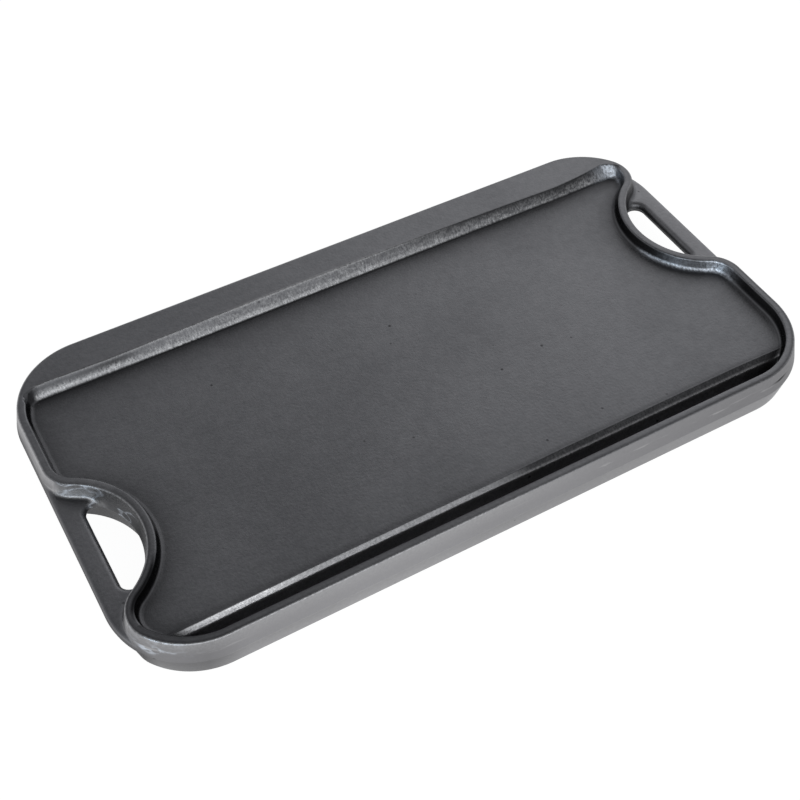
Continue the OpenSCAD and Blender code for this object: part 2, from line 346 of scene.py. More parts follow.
# The step runs into the rim in a round curve at both ends, with a wide slope at the right one
def roundStepEnd(x, y, t, z):
    r = stepEnd["r"]
    cosine = (stepY - halfW + outline["cornerR"]) / (outline["cornerR"] - wallFoot)
    a, b = y - stepY + r, wallFoot - t + r
    sine2 = 1 - cosine ** 2
    toStep, toRim = (a - b * cosine) / sine2, (b - a * cosine) / sine2
    inWedge = (np.abs(x) > stepEnd["fromX"]) & (y > stepEnd["fromY"]) & (toStep > 0) & (toRim > 0)
    inWedge &= t > np.where(x > 0, rimTop + stepEnd["rightRim"], rimMid)
    far = np.sqrt(np.maximum((a * a + b * b - 2 * a * b * cosine) / sine2, 0)) - r
    share = np.clip(toRim / np.maximum(toStep + toRim, slack), 0, 1)
    corner = np.where(x > 0, stepEnd["lean"], ledge["slope"])
    turned = climb(share, stepEnd["turnFrom"], 1)
    turned = turned ** 2 * (3 - 2 * turned)
    entry = stepLean(x) + (corner - stepLean(x)) * share / stepEnd["leanBy"]
    lean = np.where(share < stepEnd["leanBy"], entry, corner + (draft - corner) * turned)
    footR = ledge["footR"] + (rim["footR"] - ledge["footR"]) * turned
    curve = topZ - drop(ledgeDepth * np.tan(lean) - far, ledgeDepth + 0 * x, ledge["edgeR"], footR, lean)
    return np.where(inWedge, curve, z)


def topHeight(x, y):
    t, edge = insideRim(x, y), insideEdge(x, y)
    base = insideTop(x, y)
    outer = partZ + outerRise(x, y, t, topZ - partZ, rim["edgeR"])
    deep = base < cookFloor["z"] - slack
    deepShare = climb(cookFloor["z"] - base, 0, trough["deepBy"])
    lean = draft + (trough["draft"] - draft) * deepShare
    footR = rim["footR"] + (trough["footR"] - rim["footR"]) * deepShare
    shift = np.where(deep, ledgeDepth * (math.tan(draft) - np.tan(lean)), 0)
    inner = topZ - drop(t - rimInner - shift, topZ - base, rim["edgeR"], footR, lean)
    upper = topZ - drop(t - rimInner, ledgeDepth, rim["edgeR"], sharpR, draft)
    inner = np.where(deep & (upper > cookFloor["z"] + sharpR), upper, inner)
    return roundStepEnd(x, y, t, np.where(t < rimMid, outer, inner)), t, edge


def underHeight(x, y):
    t, edge = insideRim(x, y), insideEdge(x, y)
    outer = partZ - outerRise(x, y, t, partZ, rim["underEdgeR"])
    depth = insideUnder(y)
    inner = drop(t - rim["underInset"], depth, rim["edgeR"], rim["underFootR"], rim["underDraft"])
    return np.where(t < underMid, outer, inner), t, edge


# Places across the rim where a loop runs, close together round the edges and fillets
def loopPlaces(height, edgeR, innerAt, innerLean, footAt, footR):
    c = (height - edgeR) * math.tan(draft) + edgeR / math.cos(draft)
    places = list(spacing["rimWall"]) + [c - edgeR * onCircle(a)[0] for a in spacing["outerTurn"]]
    r = rim["edgeR"]
    c1 = innerAt + r * math.tan(innerLean) - r / math.cos(innerLean)
    places += [(c + c1) / 2] + [c1 + r * onCircle(a)[1] for a in spacing["innerTurn"]]
    c2 = footAt - footR * math.tan(innerLean) + footR / math.cos(innerLean)
    places += [c2 - footR * onCircle(a)[1] for a in spacing["footTurn"]]
    return sorted(places + [c2 + d for d in spacing["floorSide"]])


def topLines(x):
    beside, edge, foot = dropPlaces(ledgeDepth, ledge["edgeR"], ledge["footR"], stepLean(x))
    face = [stepY + (ledgeEdge(x) - stepY) * share for share in spacing["stepFace"]]
    return [lipEdge(x) - s for s in lipPlaces(x)] + [ledgeEdge(x) - s for s in beside + edge + foot] + face


def underLines(x):
    front, rear = sum(dropPlaces(*underFront), []), sum(dropPlaces(*underRear), [])
    return [underLipY + s + 0 * x for s in front] + [underStepY + s + 0 * x for s in rear]


def barOutside(d):
    pts = [(-halfL + d, y) for y in steps(rearBendC[1], frontCornerC[1], spacing["bar"])]
    for a in steps(180, leaveAngle, spacing["barTurn"])[1:]:
        pts.append(frontCornerC + (outline["cornerR"] - d) * onCircle(a))
    return np.array(pts)


def holdInside(d):
    r = hold["cornerR"] + d
    rear, front = (np.array([holdLineX, holdC[1] + side * holdReachY]) for side in (1, -1))
    pts = [rear + r * onCircle(a) for a in steps(holdEnd, 180, spacing["holdTurn"])]
    pts += [(holdLineX - r, y) for y in steps(rear[1], front[1], spacing["bar"])[1:-1]]
    pts += [front + r * onCircle(a) for a in steps(180, 360 - holdEnd, spacing["holdTurn"])]
    return np.array(pts)


def addPath(plan, pts, closed=False):
    first = len(plan["points"])
    plan["points"] += [tuple(p) for p in pts]
    last = len(plan["points"])
    plan["edges"] += [(i, i + 1) for i in range(first, last - 1)]
    if closed:
        plan["edges"].append((last - 1, first))


def addRuns(plan, pts, keep):
    run = []
    for p, kept in zip(pts, keep):
        if kept:
            run.append(p)
            continue
        if len(run) > 1:
            addPath(plan, run)
        run = []
    if len(run) > 1:
        addPath(plan, run)


# Points and lines of one mould half, seen from above
def halfPlan(places, lines, gridStep):
    plan = {"points": [], "edges": []}
    for place in places:
        addPath(plan, courseLoop(place), closed=True)
    offRim, offLine = -0.12, 0.05
    for turn in (1, -1):
        addPath(plan, turn * barOutside(0))
        addPath(plan, turn * holdInside(0))
        for d in spacing["barEdge"]:
            for maker in (barOutside, holdInside):
                pts = maker(d)
                keep = (insideRim(*pts.T) < offRim) & (insideEdge(*pts.T) > d - offLine)
                addRuns(plan, turn * pts, keep)
    for d in spacing["barFoot"]:
        pts = courseLoop(-d)
        plan["points"] += [tuple(p) for p in pts[insideEdge(*pts.T) > spacing["offEdge"]]]
    # a staggered grid over the floors, clear of the lines along lip, step and ledge
    xs = np.array(steps(-halfL, halfL, spacing["across"]))
    dense = np.abs(np.abs(xs) - spacing["endsAt"]) < spacing["endsHalf"]
    dense |= np.arange(len(xs)) % spacing["every"] == 0
    gx, gy = np.meshgrid(*(np.arange(-spacing[k], spacing[k] + 1, gridStep) for k in ("gridX", "gridY")))
    gx = gx + np.where((np.arange(gx.shape[0]) % 2)[:, None] == 1, gridStep / 2, 0)
    gx, gy = gx.ravel(), gy.ravel()
    clear = insideRim(gx, gy) > places[-1] + spacing["gridClear"]
    for ys in lines(xs):
        keep = (insideRim(xs, ys) > places[len(places) // 2]) & dense
        addPath(plan, np.stack([xs, ys], 1)[keep])
        clear &= np.abs(gy - np.interp(gx, xs, ys)) > spacing["lineClear"]
    plan["points"] += [tuple(p) for p in np.stack([gx, gy], 1)[clear]]
    # closer points where the step turns into the rim
    ends = np.meshgrid(*(np.arange(*spacing[k], spacing["stepEnd"]) for k in ("stepEndX", "stepEndY")))
    ex, ey = (g.ravel() for g in ends)
    low, high = spacing["stepEndRim"]
    near = (insideRim(ex, ey) > low) & (insideRim(ex, ey) < high)
    for turn in (1, -1):
        plan["points"] += [tuple(p) for p in np.stack([turn * ex, ey], 1)[near]]
    return plan


def triangles(plan):
    flat = [Vector((float(p[0]), float(p[1]))) for p in plan["points"]]
    mergeWithin, smallest = 1e-4, 1e-5
    co, edges, faces = delaunay_2d_cdt(flat, plan["edges"], [], 0, mergeWithin)[:3]
    co = np.array([(v.x, v.y) for v in co])
    faces = np.array(faces)
    mid = co[faces].mean(1)
    a, b, c = co[faces[:, 0]], co[faces[:, 1]], co[faces[:, 2]]
    area = (b[:, 0] - a[:, 0]) * (c[:, 1] - a[:, 1]) - (b[:, 1] - a[:, 1]) * (c[:, 0] - a[:, 0])
    faces = np.where(area[:, None] > 0, faces, faces[:, ::-1])
    return co, faces[(insideEdge(*mid.T) > 0) & (np.abs(area) > smallest)]


# Slow unevenness of a sand-cast face, 0 to 1
def waves(x, y, seed):
    def wave(px, py, length, layer):
        return noise.noise(Vector((px / length, py / length, layer)))

    long, short, layer = cookFloor["waveLength"], cookFloor["shortWave"], seed + cookFloor["shortSeed"]
    out = [wave(px, py, long, seed) + 0.5 * wave(px, py, short, layer) for px, py in zip(x, y)]
    return np.clip(0.5 + 0.5 * np.array(out), 0, 1)


def castingMesh():
    places = loopPlaces(topZ - partZ, rim["edgeR"], rimInner, draft, wallFoot, rim["footR"])
    topCo, topFaces = triangles(halfPlan(places, topLines, spacing["topGrid"]))
    print("stage: upper half has", len(topFaces), "triangles")
    underFoot = rim["underInset"] + cookFloor["underZ"] * math.tan(rim["underDraft"])
    places = loopPlaces(partZ, rim["underEdgeR"], rim["underInset"], rim["underDraft"], underFoot,
                        rim["underFootR"])
    underCo, underFaces = triangles(halfPlan(places, underLines, spacing["underGrid"]))
    print("stage: lower half has", len(underFaces), "triangles")
    topH, topT, topEdge = topHeight(*topCo.T)
    underH, underT, underEdge = underHeight(*underCo.T)
    # the waves fade out towards the edge, and the rim that the plate stands on stays flat
    fadeOver, standing, seamWithin, seamDigits = cookFloor["fadeOver"], 0.5, 0.02, 2
    sag = waves(*topCo.T, cookFloor["topSeed"]) * climb(topEdge, 0, fadeOver)
    topH -= cookFloor["waviness"] * sag
    lift = waves(*underCo.T, cookFloor["underSeed"]) * climb(underEdge, 1, 1 + fadeOver)
    underH += cookFloor["waviness"] * lift * (underH > standing)
    onEdge = np.concatenate([topEdge, underEdge]) < seamWithin
    co = np.vstack([np.column_stack([topCo, topH]), np.column_stack([underCo, underH])])
    co[onEdge, 2] = partZ
    faces = np.vstack([topFaces, underFaces[:, ::-1] + len(topCo)])
    # one point for both halves along the parting line
    keys = {}
    merged = np.arange(len(co))
    for i in np.where(onEdge)[0]:
        merged[i] = keys.setdefault(tuple(np.round(co[i, :2], seamDigits)), i)
    used, faces = np.unique(merged[faces], return_inverse=True)
    upper = np.arange(len(co)) < len(topCo)
    return co[used], faces.reshape(-1, 3), np.concatenate([topT, underT])[used], onEdge[used], upper[used]


# Shares of a finish: a soft band, a soft line and a round spot
def between(value, low, high, soft):
    return climb(value, low, low + soft) * climb(value, high, high - soft)


def softLine(value, middle, width):
    return np.exp(-((value - middle) / width) ** 2)


def spot(p, middleX, middleY, size):
    return softLine(p.x, middleX, size) * softLine(p.y, middleY, size)


def spots(p, places):
    return sum(strength * spot(p, *place) for *place, strength in places)


# What the finishes and the painted light and shade go by at each point. Ranges below are (start, end), in
# millimetres along or across the plate, or in shares of a normal; a line is (middle, width)
zone = {"steep": (0.80, 0.50), "within": (-0.2, 0.3), "wall": 8, "wallSoft": 2, "lowWall": 5}


def castingPoints(co, facing, t, upper):
    p = SimpleNamespace(t=t, upper=upper)  # t is the distance inside the parting line
    p.x, p.y, p.z = co.T
    p.across, p.back, p.up = facing.T
    p.above = p.z - cookFloor["z"]  # height over the floor
    p.below = topZ - p.z  # depth under the upper edge
    p.outside = insideOutline(p.x, p.y)
    p.steep = climb(np.abs(p.up), *zone["steep"])
    p.within = climb(t - rimInner, *zone["within"])
    p.onWall = climb(p.outside, zone["wall"], zone["wall"] - zone["wallSoft"])
    return p


# Rough sand face of the step, with painted light and shade by height: its tones and the line at its foot
# are painted highlights, the dips and the darker right side painted shade, and the line along the ledge
# edge is worn metal as well as a painted highlight; rise goes from the floor (0) to the ledge (1)
stepFace = {
    "startX": (-235, -232), "fromY": 50, "height": (0.3, 0.4), "soft": 0.9, "tilt": (0.95, 0.83),
    "facing": (-0.15, -0.40), "left": (-135, -170), "right": (-10, 100),
    "rise": (0, 0.12, 0.3, 0.5, 0.7, 0.9, 1), "leftTone": (0.0, 0.35, 0.9, 0.3, 0.0, 0.1, 0.3),
    "middleTone": (0.5, 0.95, 0.6, 0.35, 0.25, 0.35, 0.5),
    "rightTone": (0.7, 0.65, 0.46, 0.32, 0.19, 0.06, 0.0), "rightShade": 0.85, "clearSpot": 11,
    "dip": (0.66, 0.24), "dipShare": 0.25, "deepDip": (-178, 18), "deepDipShare": 0.5,
    "footDip": (0, 0.15), "footDipX": (-160, -190), "footDipShare": 0.8,
    "footX": (-215, -190, -110, -75, -10, 60, 125), "footHighlight": (0.5, 0.32, 0.33, 0.62, 0.5, 0.4, 0.0),
    "footAtX": (-195, -165), "footAt": (0.26, 0.17), "footWidth": 0.11, "footShare": 0.8,
    "edgeLine": (0.1, 0.55), "edgeX": (-200, -110, -70), "edgeWearAndHighlight": (0.3, 0.5, 1), "edgeDepth": 2,
}


def stepFinishAndLight(p):
    f = stepFace
    low, high = f["height"]
    started = climb(p.x, *f["startX"])
    toRight, toLeft = climb(p.x, *f["right"]), climb(p.x, *f["left"])
    rise = climb(p.z, cookFloor["z"], topZ)
    onStep = between(p.above, low, ledgeDepth + high, f["soft"]) * (p.y > f["fromY"]) * (p.t > rimMid)
    onStep *= climb(p.up, *f["tilt"]) * climb(p.back, *f["facing"]) * started
    # tones by height paint the light on the step; dip and the right side's darkening are painted shade, the
    # foot line a painted highlight
    parts = {"leftTone": toLeft, "middleTone": 1 - toLeft - toRight, "rightTone": toRight}
    tone = sum(part * np.interp(rise, f["rise"], f[name]) for name, part in parts.items())
    dip = toLeft * (f["dipShare"] + f["deepDipShare"] * softLine(p.x, *f["deepDip"]))
    dip *= softLine(rise, *f["dip"])
    dip += f["footDipShare"] * softLine(rise, *f["footDip"]) * climb(p.x, *f["footDipX"])
    footAt = np.interp(p.x, f["footAtX"], f["footAt"])
    foot = softLine(rise, footAt, f["footWidth"]) * np.interp(p.x, f["footX"], f["footHighlight"])
    edge = softLine(ledgeEdge(p.x) - p.y, *f["edgeLine"]) * started * (p.t > rimInner) * (1 - toRight)
    edge *= (p.below < f["edgeDepth"]) * np.interp(p.x, f["edgeX"], f["edgeWearAndHighlight"])
    dark = f["rightShade"] * toRight * rise * (1 - spot(p, *rubbedAndHighlight["paintedHighlight"][0][:2], f["clearSpot"]))
    return SimpleNamespace(on=onStep, rough=onStep * tone, paintedLight=f["footShare"] * onStep * foot, edge=edge,
                           shade=onStep * (dark + dip))


# Lip and trough: a painted highlight along the left part of the lip and painted shade to the right, a
# painted highlight line at its lower edge, a painted shade line above it, and the trough lightened as
# painted light
lipFace = {
    "fromY": -60, "startX": (-225, -215), "margin": (0.1, 0.5), "soft": 0.3, "dark": (-15, 25),
    "darkShade": 0.66, "softX": (-165, -135), "softShare": 0.5, "darkRough": 0.08,
    "x": (-207, -178, -150, -121, -30, -13, 25), "paintedLight": (0.8, 1.0, 0.85, 0.62, 0.6, 0.5, 0.0),
    "line": (-0.1, 0.7), "lineShare": 0.8, "shadowAt": -1.2, "shadowLength": 1.0, "shadowShade": 0.3,
    "troughDepth": (0, -1.0), "troughRim": (0.2, 1.2), "troughPaintedLight": 0.85,
}


def lipFinishAndLight(p):
    f = lipFace
    before, after = f["margin"]
    along = lipEdge(p.x) - p.y
    start = trough["lipSet"] - lipWidth(p.x)
    atLip = (p.y < f["fromY"]) * (p.t > wallFoot) * p.upper
    onLip = between(along, start - before, trough["lipSet"] + after, f["soft"])
    onLip *= atLip * climb(p.x, *f["startX"])
    dark = climb(p.x, *f["dark"])
    softened = f["softShare"] * climb(p.x, *f["softX"]) * climb(along - start, lipWidth(p.x), 0)
    # painted highlight on the lip, brightest at the left
    paintedLight = onLip * (1 - softened) * np.interp(p.x, f["x"], f["paintedLight"])
    # painted highlight line at the lip's lower edge, and a painted shade line above the lip
    line = f["lineShare"] * softLine(along - trough["lipSet"], *f["line"]) * atLip * dark
    shadow = np.exp(-np.abs(along - start - f["shadowAt"]) / f["shadowLength"]) * atLip * (1 - onLip)
    # the trough's walls lightened with the wall grey: painted light
    inTrough = climb(p.above + trough["lipDrop"], *f["troughDepth"]) * (p.y < f["fromY"]) * p.upper
    inTrough *= climb(p.t - wallFoot, *f["troughRim"])
    return SimpleNamespace(on=onLip, paintedLight=paintedLight, line=line, rough=f["darkRough"] * onLip * dark,
                           trough=f["troughPaintedLight"] * inTrough,
                           shade=f["darkShade"] * onLip * dark + f["shadowShade"] * shadow)


# Rim: worn outer edge that also carries a painted highlight, with a painted shade line beside it, painted
# shade on the rim top and the inner walls, and a painted shadow at their foot
rimFace = {
    "edge": (0.3, 0.55), "edgeDepth": 3, "edgeX": (-20, 70, 200, 235), "edgeWearAndHighlight": (1, 0.2, 0.2, 0.6),
    "holdFrom": 8, "holdWearAndHighlight": 0.65, "dimSpot": (-238, 22, 18), "dimShare": 0.7,
    "darkLine": (1.6, 0.6), "darkDepth": 1.2, "dark": 0.35, "darkLeft": (-120, -200),
    "darkRight": (80, 160), "darkLeftShare": 0.5, "darkRightShare": 0.45, "darkY": (20, 60, 0.25),
    "top": 1.0, "topSoft": 0.6, "topDepth": 1, "topX": (100, -50), "topShade": 0.08,
    "topLeft": (-180, -220), "topLeftShade": 0.2, "innerDepth": 2.5, "frontY": -100,
    "frontX": (150, 50), "frontEdge": (-2.6, -0.4), "frontShade": 0.5, "bendX": -200,
    "bendY": (-98, -56, 12), "bendEdge": (-2.8, -1.2), "bendShade": 0.9, "endX": -225,
    "endY": (12, 80, 12), "endLine": (-0.8, 0.6), "endDepth": 2, "endShade": 0.36,
    "wallTilt": (0.72, 0.47), "wallDown": -4, "wallShade": 0.9, "endClear": 0.85, "rightX": 200,
    "rightHold": (-50, 8, 14), "rightHoldClear": 0.6, "rightBend": (62, 120, 14),
    "rightBendClear": 0.72, "leftX": -195, "leftHold": (-46, 14, 10), "leftHoldClear": 0.7,
    "footStart": 1.0, "footLength": 10, "footShade": 0.60, "stepStart": 0.5, "stepLength": 12,
    "stepShade": 0.78, "footTilt": (0.6, 0.9), "footHeight": (-1.0, 4.0, 1.0),
}


def rimFinishAndLight(p, step, lip):
    f = rimFace
    # worn outer edge, also a painted highlight, dimmer in the left hold
    edge = softLine(p.t - rimTop, *f["edge"]) * (p.below < f["edgeDepth"])
    edge *= np.interp(p.x, f["edgeX"], f["edgeWearAndHighlight"])
    edge *= np.where(p.outside > f["holdFrom"], f["holdWearAndHighlight"], 1)
    edge *= 1 - f["dimShare"] * spot(p, *f["dimSpot"])
    beside = f["dark"] + f["darkLeftShare"] * climb(p.x, *f["darkLeft"])
    beside += f["darkRightShare"] * climb(p.x, *f["darkRight"])
    darkFrom, darkOver, darkLeast = f["darkY"]
    beside *= softLine(p.t - rimTop, *f["darkLine"]) * (p.below < f["darkDepth"])
    beside *= np.clip((darkFrom - p.y) / darkOver, darkLeast, 1)
    top = between(p.t, rimTop + f["top"], rimInner, f["topSoft"]) * (p.below < f["topDepth"]) * (p.y < 0)
    top *= climb(p.x, *f["topX"]) * (f["topShade"] + f["topLeftShade"] * climb(p.x, *f["topLeft"]))
    innerEdge = (p.below < f["innerDepth"]) * (p.t > rimMid)
    front = (p.y < f["frontY"]) * climb(p.x, *f["frontX"])
    top += f["frontShade"] * climb(p.t - rimInner, *f["frontEdge"]) * innerEdge * front
    bend = between(p.y, *f["bendY"]) * (p.x < f["bendX"])
    top += f["bendShade"] * climb(p.t - rimInner, *f["bendEdge"]) * innerEdge * bend
    leftEnd = between(p.y, *f["endY"]) * (p.x < f["endX"])
    top += f["endShade"] * softLine(p.t - rimInner, *f["endLine"]) * leftEnd * (p.below < f["endDepth"])
    # painted shade on the inner walls and a painted shadow at their foot
    wall = climb(p.up, *f["wallTilt"]) * p.within * p.upper * (1 - step.on) * (1 - lip.on)
    wall *= p.above > f["wallDown"]
    onRight = p.x > f["rightX"]
    cleared = f["endClear"] * leftEnd
    cleared += f["rightHoldClear"] * between(p.y, *f["rightHold"]) * onRight
    cleared += f["rightBendClear"] * between(p.y, *f["rightBend"]) * onRight
    wall *= f["wallShade"] - cleared
    wall *= 1 - f["leftHoldClear"] * between(p.y, *f["leftHold"]) * (p.x < f["leftX"])
    ahead = np.where(p.y < 0, np.inf, np.maximum(stepY - p.y - f["stepStart"], 0))
    foot = f["footShade"] * np.exp(-np.maximum(p.t - wallFoot - f["footStart"], 0) / f["footLength"])
    foot = np.maximum(foot, f["stepShade"] * np.exp(-ahead / f["stepLength"]))
    foot *= climb(p.up, *f["footTilt"]) * between(p.above, *f["footHeight"]) * p.within
    return SimpleNamespace(edge=edge, shade=wall + foot + top + beside)


# Outer wall and hand-holds: painted shade on the front wall by place and on the left end, the wall grey as
# painted light on the left hand-hold's walls and the right bar, a painted highlight line at the left hold's
# foot, painted shade in the right hold, and scratches in the left one
wallFace = {
    "x": (-254, -232, -212, -188, -110, -60, -30, 28, 109, 175, 240),
    "dark": (0.27, 0.27, 0.33, 0.06, 0.0, 0.02, 0.08, 0.12, 0.22, 0.30, 0.30), "lowerX": (20, 150),
    "lowerShare": (1, 0.5), "lowerShade": 0.1, "lowerTo": (100, 0), "leftFacing": (-0.6, -0.85),
    "leftX": -230, "leftZ": (0, partZ, topZ - 2), "leftDark": (0.6, 0.58, 0.0),
}
holdFace = {
    "inside": (6, 9), "rim": (rimMid, rimMid - 1.5), "paintedLight": 0.42, "lightFrom": 8, "lightOver": 28,
    "lightFall": 0.75, "lightLeast": 0.2, "barPaintedLight": 0.2, "barX": 200, "barRim": (-0.5, -2.5),
    "barTilt": 0.5, "leftY": (-67, -57, -45, -31, -18, -5),
    "leftDark": (0.3, 0.5, 0.62, 0.62, 0.45, 0.40), "lowerY": (-30, -5), "lowerDark": (0.55, 0.4),
    "rightDark": 0.05, "rightRim": (-2, 0), "rightRimDark": 0.35, "rightLowerDark": 0.65,
    "besideX": -215, "besideY": (-2, 40, 8), "besideFrom": 4, "footLine": (0.45, 0.6),
    "footLineShare": 0.8, "footShadow": (-1.4, 1.2), "footShadowShade": 0.5, "scratchY": (-30, 34, 12),
    "scratchShare": 0.5,
}


def wallFinishAndLight(p):
    f, h = wallFace, holdFace
    above = p.up > 0
    inHold = p.steep * climb(p.outside, *h["inside"]) * climb(p.t, *h["rim"])
    # the left hand-hold's walls and the right bar lightened with the wall grey: painted light
    paintedLight = np.clip(1 - h["lightFall"] * (p.outside - h["lightFrom"]) / h["lightOver"], h["lightLeast"], 1)
    tone = np.maximum(p.steep * p.onWall, h["paintedLight"] * paintedLight * (p.x < 0) * above * inHold)
    onBar = (p.x > h["barX"]) * climb(p.t, *h["barRim"]) * p.upper * (p.up > h["barTilt"])
    tone = np.maximum(tone, h["barPaintedLight"] * onBar)

    # front walls darker by place, the left end and the lower halves darker: painted shade
    dark = p.steep * p.onWall * np.interp(p.x, f["x"], f["dark"]) * (p.y < 0)
    dark *= np.where(p.upper, 1, np.interp(p.x, f["lowerX"], f["lowerShare"]))
    leftSide = climb(p.across, *f["leftFacing"]) * (p.outside < zone["wall"]) * (p.x < f["leftX"])
    dark = np.maximum(dark, leftSide * np.interp(p.z, f["leftZ"], f["leftDark"]))
    dark = dark + f["lowerShade"] * ~p.upper * p.z / partZ * climb(p.x, *f["lowerTo"])
    onLowWall = p.outside < zone["lowWall"]

    left = np.interp(p.y, h["leftY"], h["leftDark"])
    left = np.where(above, left, np.interp(p.y, h["lowerY"], h["lowerDark"]))
    right = h["rightDark"] + h["rightRimDark"] * climb(p.t, *h["rightRim"])
    right = np.where(above, right, h["rightLowerDark"])
    holdDark = inHold * np.where(p.x < 0, left, right)
    beside = between(p.y, *h["besideY"]) * (p.x < h["besideX"]) * (p.outside > h["besideFrom"]) * p.upper
    holdDark = np.maximum(holdDark, h["footShadowShade"] * softLine(p.t, *h["footShadow"]) * beside)
    scratched = h["scratchShare"] * inHold * between(p.y, *h["scratchY"]) * (p.x < 0) * p.upper
    return SimpleNamespace(tone=tone, shade=np.where(onLowWall, dark, 0) + holdDark, onLowWall=onLowWall,
                           shown=p.upper | onLowWall | (holdDark > 0), scratched=scratched,
                           footLine=h["footLineShare"] * softLine(p.t, *h["footLine"]) * beside)


# Rubbed places and painted highlights: x, y, size and strength of each spot; the dabs are rubbed metal, the
# other spots and the band are painted highlights
rubbedAndHighlight = {
    "dabs": ((-237, -113, 13, 0.8), (-238, 10, 13, 0.35)), "seamMark": (212, -130, 6.5),
    "paintedHighlight": ((234.5, 102, 11, 0.62), (244, -23, 11, 1.3), (220, -6, 13, 0.2)),
    "tilt": (0.985, 0.865), "rim": (-1.5, -0.9), "band": (1.1, 0.8), "bandY": (-26, 24, 10),
    "bandX": 150, "bandRim": 3, "bandShare": 0.75, "down": -0.2,
}


def paintedHighlightAt(p):
    f = rubbedAndHighlight
    # painted highlight spots and a painted highlight band at the right hold's foot
    highlight = spots(p, f["paintedHighlight"]) * climb(p.up, *f["tilt"]) * climb(p.t - rimInner, *f["rim"])
    band = softLine(p.above, *f["band"]) * between(p.y, *f["bandY"]) * (p.x > f["bandX"])
    highlight += f["bandShare"] * band * p.within * (p.t < wallFoot + f["bandRim"])
    return np.clip(highlight * p.upper * (p.above > f["down"]), 0, 1)


# Shares of each finish and of the painted light and shade, kept on the mesh for the iron's material
def castingFinishesAndLight(co, facing, t, upper):
    p = castingPoints(co, facing, t, upper)
    step, lip, wall = stepFinishAndLight(p), lipFinishAndLight(p), wallFinishAndLight(p)
    edges = rimFinishAndLight(p, step, lip)
    shade = np.clip(step.shade + lip.shade + edges.shade + wall.shade, 0, 1)
    return {
        "roughStepAndPaintedLight": (step.rough + lip.rough) * upper,
        "paintedLipAndFootLight": np.maximum(lip.paintedLight, step.paintedLight * upper),
        "wornEdgeAndHighlight": edges.edge * upper,
        "wearAndHighlightLine": np.clip(step.edge + lip.line + wall.footLine, 0, 1) * upper,
        "wallGreyAndPaintedLight": np.maximum(wall.tone, lip.trough),
        "shade": shade * wall.shown,
        "rubbedCorner": np.clip(spots(p, rubbedAndHighlight["dabs"]), 0, 1),
        "paintedHighlight": paintedHighlightAt(p),
        "seamMark": spot(p, *rubbedAndHighlight["seamMark"]) * wall.onLowWall * upper,
        "scratched": wall.scratched,
    }


def makeCasting():
    co, faces, t, onEdge, upper = castingMesh()
    mesh = bpy.data.meshes.new("griddleCasting")
    mesh.from_pydata((co * mm).tolist(), [], faces.tolist())
    normals = np.empty(len(co) * 3, dtype=np.float32)
    mesh.vertex_normals.foreach_get("vector", normals)
    for name, values in castingFinishesAndLight(co, normals.reshape(-1, 3), t, upper).items():
        kept = mesh.attributes.new(name, "FLOAT", "POINT")
        kept.data.foreach_set("value", np.ascontiguousarray(values, dtype=np.float32))
    bm = bmesh.new()
    bm.from_mesh(mesh)
    for face in bm.faces:
        face.smooth = True
    for line in bm.edges:
        if onEdge[line.verts[0].index] and onEdge[line.verts[1].index]:
            line.smooth = False
    print("stage: casting has", sum(1 for line in bm.edges if len(line.link_faces) != 2), "open edges")
    bm.to_mesh(mesh)
    bm.free()
    made = bpy.data.objects.new("griddleCasting", mesh)
    bpy.context.scene.collection.objects.link(made)
    return made


casting = makeCasting()


def addNode(tree, kind, inputs=(), **settings):
    made = tree.nodes.new(kind)
    for key, value in settings.items():
        setattr(made, key, value)
    for key, value in dict(inputs).items():
        if isinstance(value, bpy.types.NodeSocket):
            tree.links.new(value, made.inputs[key])
        else:
            made.inputs[key].default_value = value
    return made


def calc(tree, operation, a, b=0.0):
    return addNode(tree, "ShaderNodeMath", {0: a, 1: b}, operation=operation).outputs[0]


def times(tree, first, *others):
    for other in others:
        first = calc(tree, "MULTIPLY", first, other)
    return first


def ramp(tree, value, low, high, toLow=0.0, toHigh=1.0):
    sockets = {"Value": value, "From Min": low, "From Max": high, "To Min": toLow, "To Max": toHigh}
    return addNode(tree, "ShaderNodeMapRange", sockets).outputs[0]


# Share that falls off with the distance from a value
def nearTo(tree, value, middle, none, full):
    return ramp(tree, calc(tree, "ABSOLUTE", calc(tree, "SUBTRACT", value, middle)), none, full)


def blendColour(tree, share, a, b):
    return addNode(tree, "ShaderNodeMix", {0: share, 6: a, 7: b}, data_type="RGBA").outputs[2]


def blendValue(tree, share, a, b):
    return addNode(tree, "ShaderNodeMix", {0: share, 2: a, 3: b}, data_type="FLOAT").outputs[0]


def grain(tree, vector, scale, detail=3.0, roughness=0.55):
    sockets = {"Vector": vector, "Scale": scale, "Detail": detail, "Roughness": roughness}
    return addNode(tree, "ShaderNodeTexNoise", sockets).outputs["Fac"]


def stretch(tree, vector, scale):
    return addNode(tree, "ShaderNodeMapping", {"Vector": vector, "Scale": scale}).outputs[0]


def separate(tree, vector):
    return addNode(tree, "ShaderNodeSeparateXYZ", {0: vector}).outputs
